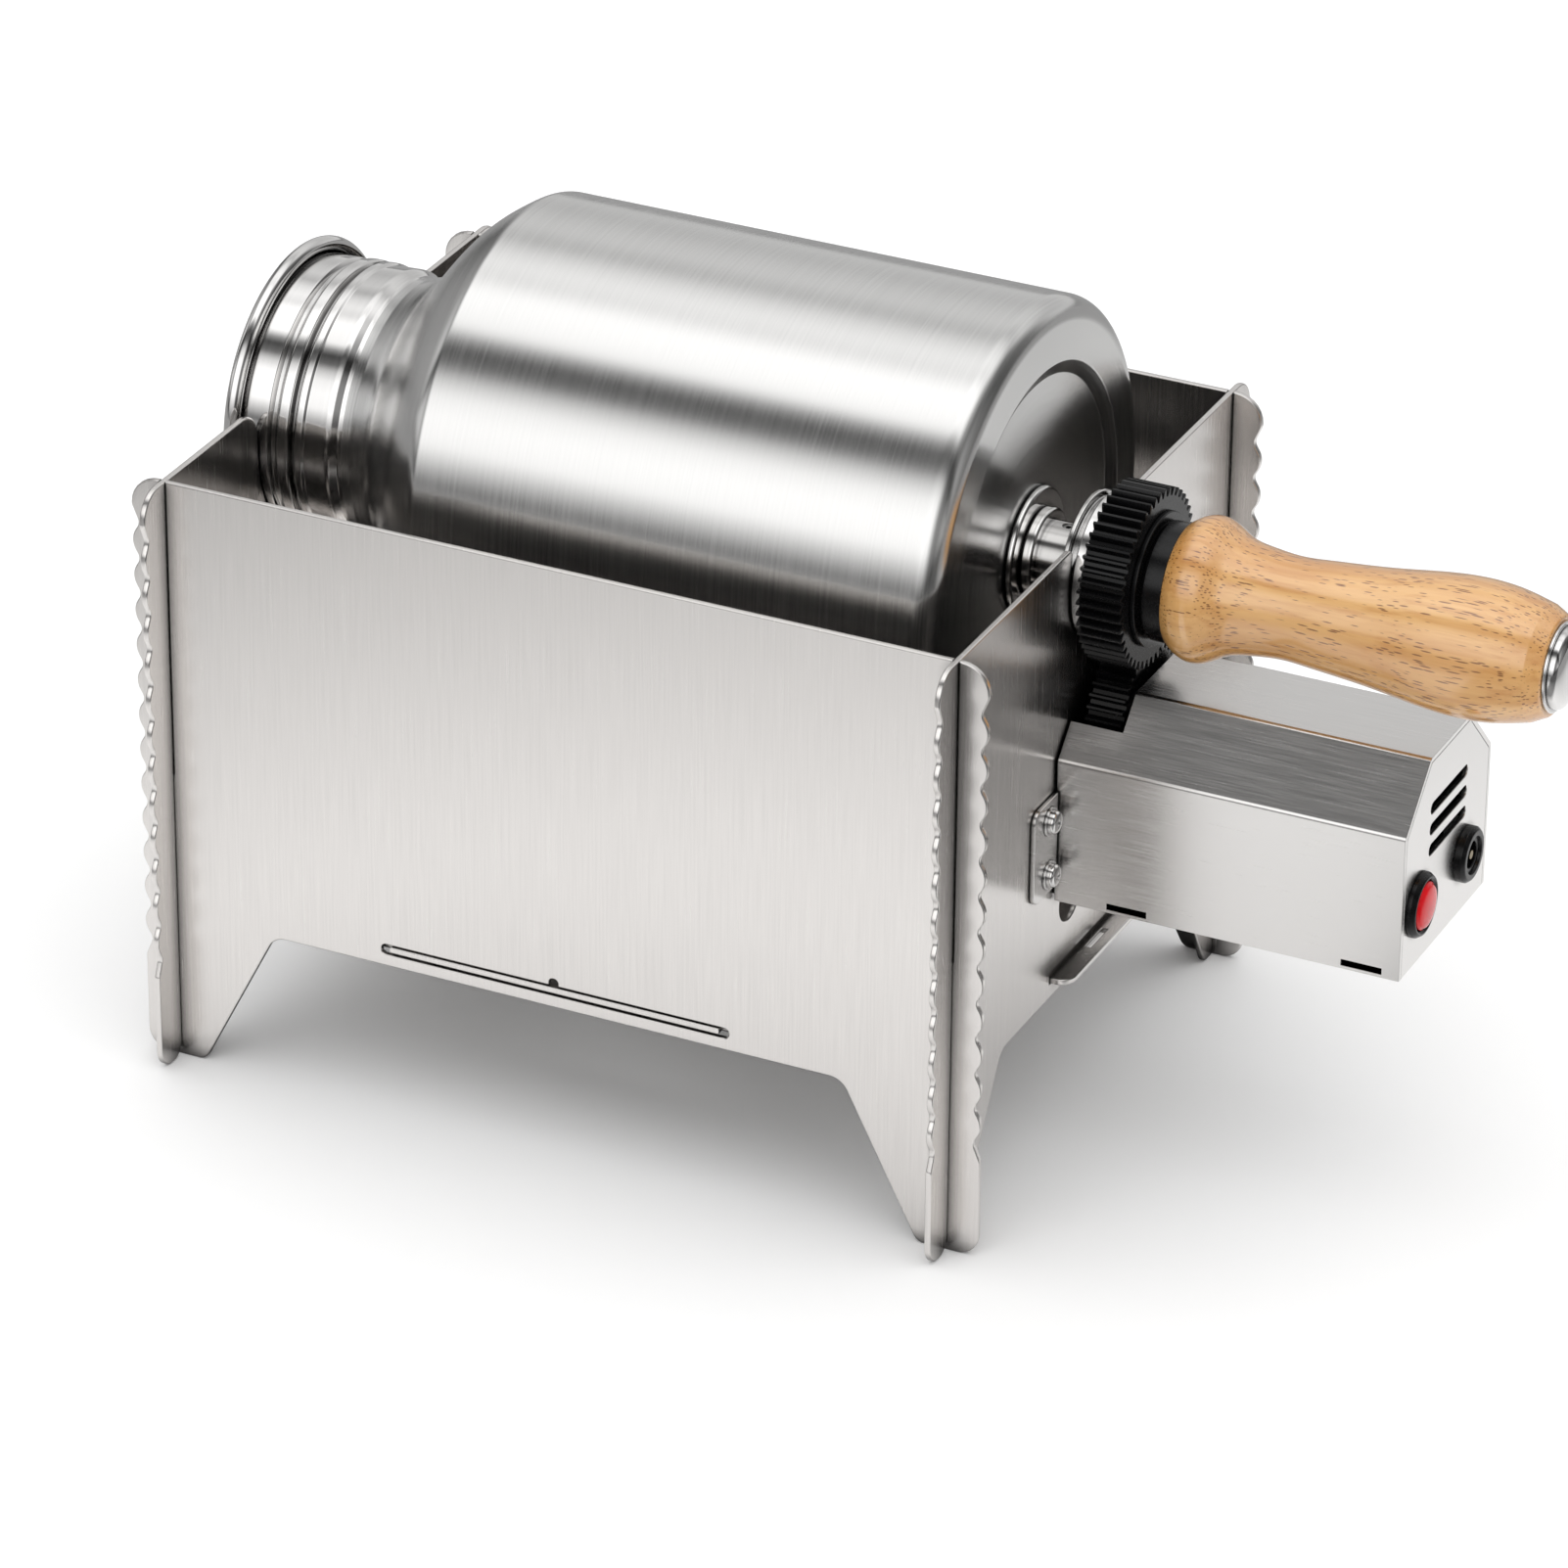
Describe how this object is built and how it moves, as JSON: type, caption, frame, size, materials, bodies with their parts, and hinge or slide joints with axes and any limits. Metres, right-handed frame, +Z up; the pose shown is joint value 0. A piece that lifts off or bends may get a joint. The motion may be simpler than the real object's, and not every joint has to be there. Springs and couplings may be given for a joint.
{
  "type": "drum coffee roaster",
  "caption": "Tabletop roasting drum with a wooden handle, turned by a geared motor box in an open notched steel stand that straddles a small burner.",
  "frame": {"origin": "on the surface it stands on, under the middle of its bounding box", "axes": "+X along the drum axis towards the handle, +Y towards the back panel, +Z up"},
  "size_m": [0.3242, 0.1748, 0.1991],
  "materials": {
    "frame_steel": "brushed with a vertical grain",
    "drum_steel": "satin, spun",
    "box_steel": "brushed along its length",
    "bright_steel": "polished",
    "plain_steel": "plain zinc plated",
    "black_plastic": "satin black",
    "handle_wood": "varnished light wood",
    "red_plastic": "glossy red",
    "pin_metal": "bright",
    "wire_cover": "plain black"
  },
  "bodies": {
    "frame": {"front_panel": "frame_steel", "back_panel": "frame_steel", "left_panel": "frame_steel", "right_panel": "frame_steel", "burner_shelf": "frame_steel", "motor_cover": "box_steel", "motor_floor": "box_steel", "cover_screws": "bright_steel", "cover_washers": "bright_steel", "cover_nuts": "plain_steel", "motor_bracket": "box_steel", "bracket_screws": "plain_steel", "motor_screws": "plain_steel", "gearbox": "plain_steel", "motor_can": "plain_steel", "inlet_body": "black_plastic", "inlet_pin": "pin_metal", "inlet_nut": "plain_steel", "button_body": "black_plastic", "button_nut": "plain_steel", "lead_wires": "wire_cover"},
    "bearing_carrier": {"bearing_outer_ring": "bright_steel", "bearing_balls": "bright_steel", "bearing_shields": "bright_steel"},
    "drum": {"drum_shell": "drum_steel", "drum_neck": "bright_steel", "drum_vanes": "drum_steel", "base_washer": "bright_steel", "base_ring": "bright_steel", "inner_washer": "bright_steel", "drum_hub": "bright_steel", "hub_set_screw": "plain_steel", "bearing_inner_ring": "bright_steel", "drum_gear": "black_plastic", "handle_collar": "black_plastic", "wooden_handle": "handle_wood", "handle_washer": "bright_steel", "handle_bolt": "bright_steel", "drum_lock_nut": "plain_steel"},
    "pinion": {"motor_shaft": "plain_steel", "motor_gear": "black_plastic"},
    "button": {"button_cap": "red_plastic"}
  },
  "joints": [
    {"name": "drum_lift", "type": "slide", "parent": "frame", "child": "bearing_carrier", "axis": [0, 0, 1], "range_m": [0, 0.08]},
    {"name": "drum_spin", "type": "hinge", "parent": "bearing_carrier", "child": "drum", "pos_m": [0.04675, 0, 0.1397], "axis": [1, 0, 0], "continuous": true},
    {"name": "pinion_spin", "type": "hinge", "parent": "frame", "child": "pinion", "pos_m": [0.05405, 0.0035, 0.10332], "axis": [1, 0, 0], "continuous": true},
    {"name": "power_button", "type": "slide", "parent": "frame", "child": "button", "axis": [-1, 0, 0], "range_m": [0, 0.0012], "stiffness_N_per_m": 500, "springref_m": -0.001}
  ],
  "couplings": [
    {"joint": "pinion_spin", "follows": "drum_spin", "ratio": -1.2632}
  ]
}
